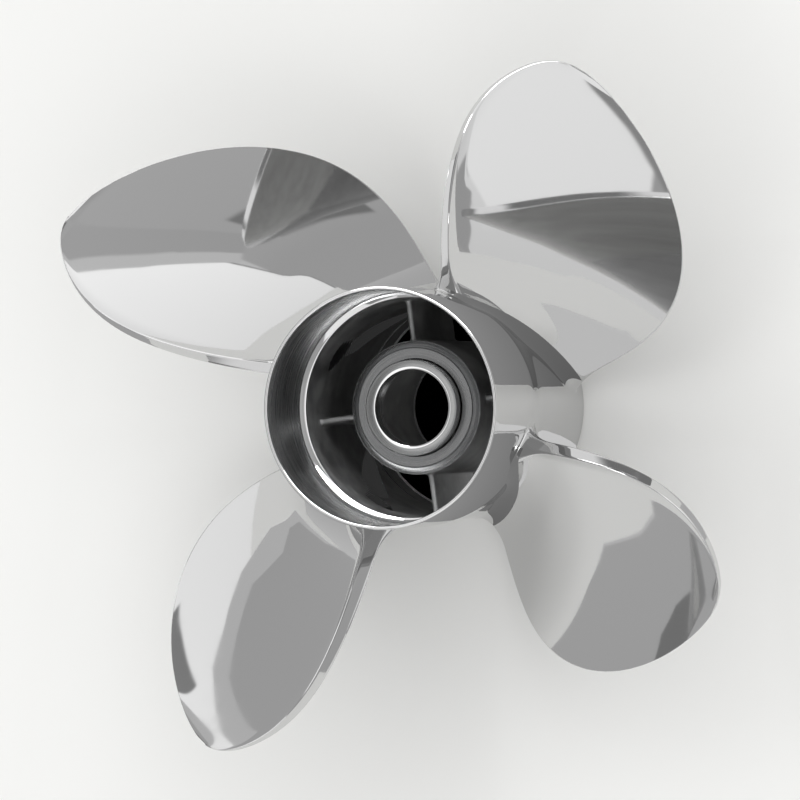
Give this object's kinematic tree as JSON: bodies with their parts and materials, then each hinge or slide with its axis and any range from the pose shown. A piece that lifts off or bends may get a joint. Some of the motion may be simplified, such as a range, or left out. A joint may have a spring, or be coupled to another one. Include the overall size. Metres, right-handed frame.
{
  "type": "four-blade boat propeller with through-hub exhaust",
  "caption": "Right-hand cast stainless boat propeller: broad raked blades on a barrel with a long exhaust tube, ribbed inner hub and wide bore.",
  "frame": {"origin": "centre of the barrel's front edge, where the propeller meets the gearcase", "axes": "+Z along the shaft towards the aft end, +X and +Y between the blades; the propeller turns clockwise seen from +Z"},
  "size_m": [0.3424, 0.3424, 0.166],
  "materials": {
    "polished_steel": "mirror-polished cast stainless steel",
    "satin_steel": "turned and as-cast satin stainless steel"
  },
  "bodies": {
    "root": {"barrel": "polished_steel", "exhaust_tube": "polished_steel", "blade_1": "polished_steel", "blade_2": "polished_steel", "blade_3": "polished_steel", "blade_4": "polished_steel", "inner_hub": "satin_steel", "hub_sleeve": "satin_steel", "rib_1": "satin_steel", "rib_2": "satin_steel", "rib_3": "satin_steel", "rib_4": "satin_steel"}
  },
  "joints": []
}
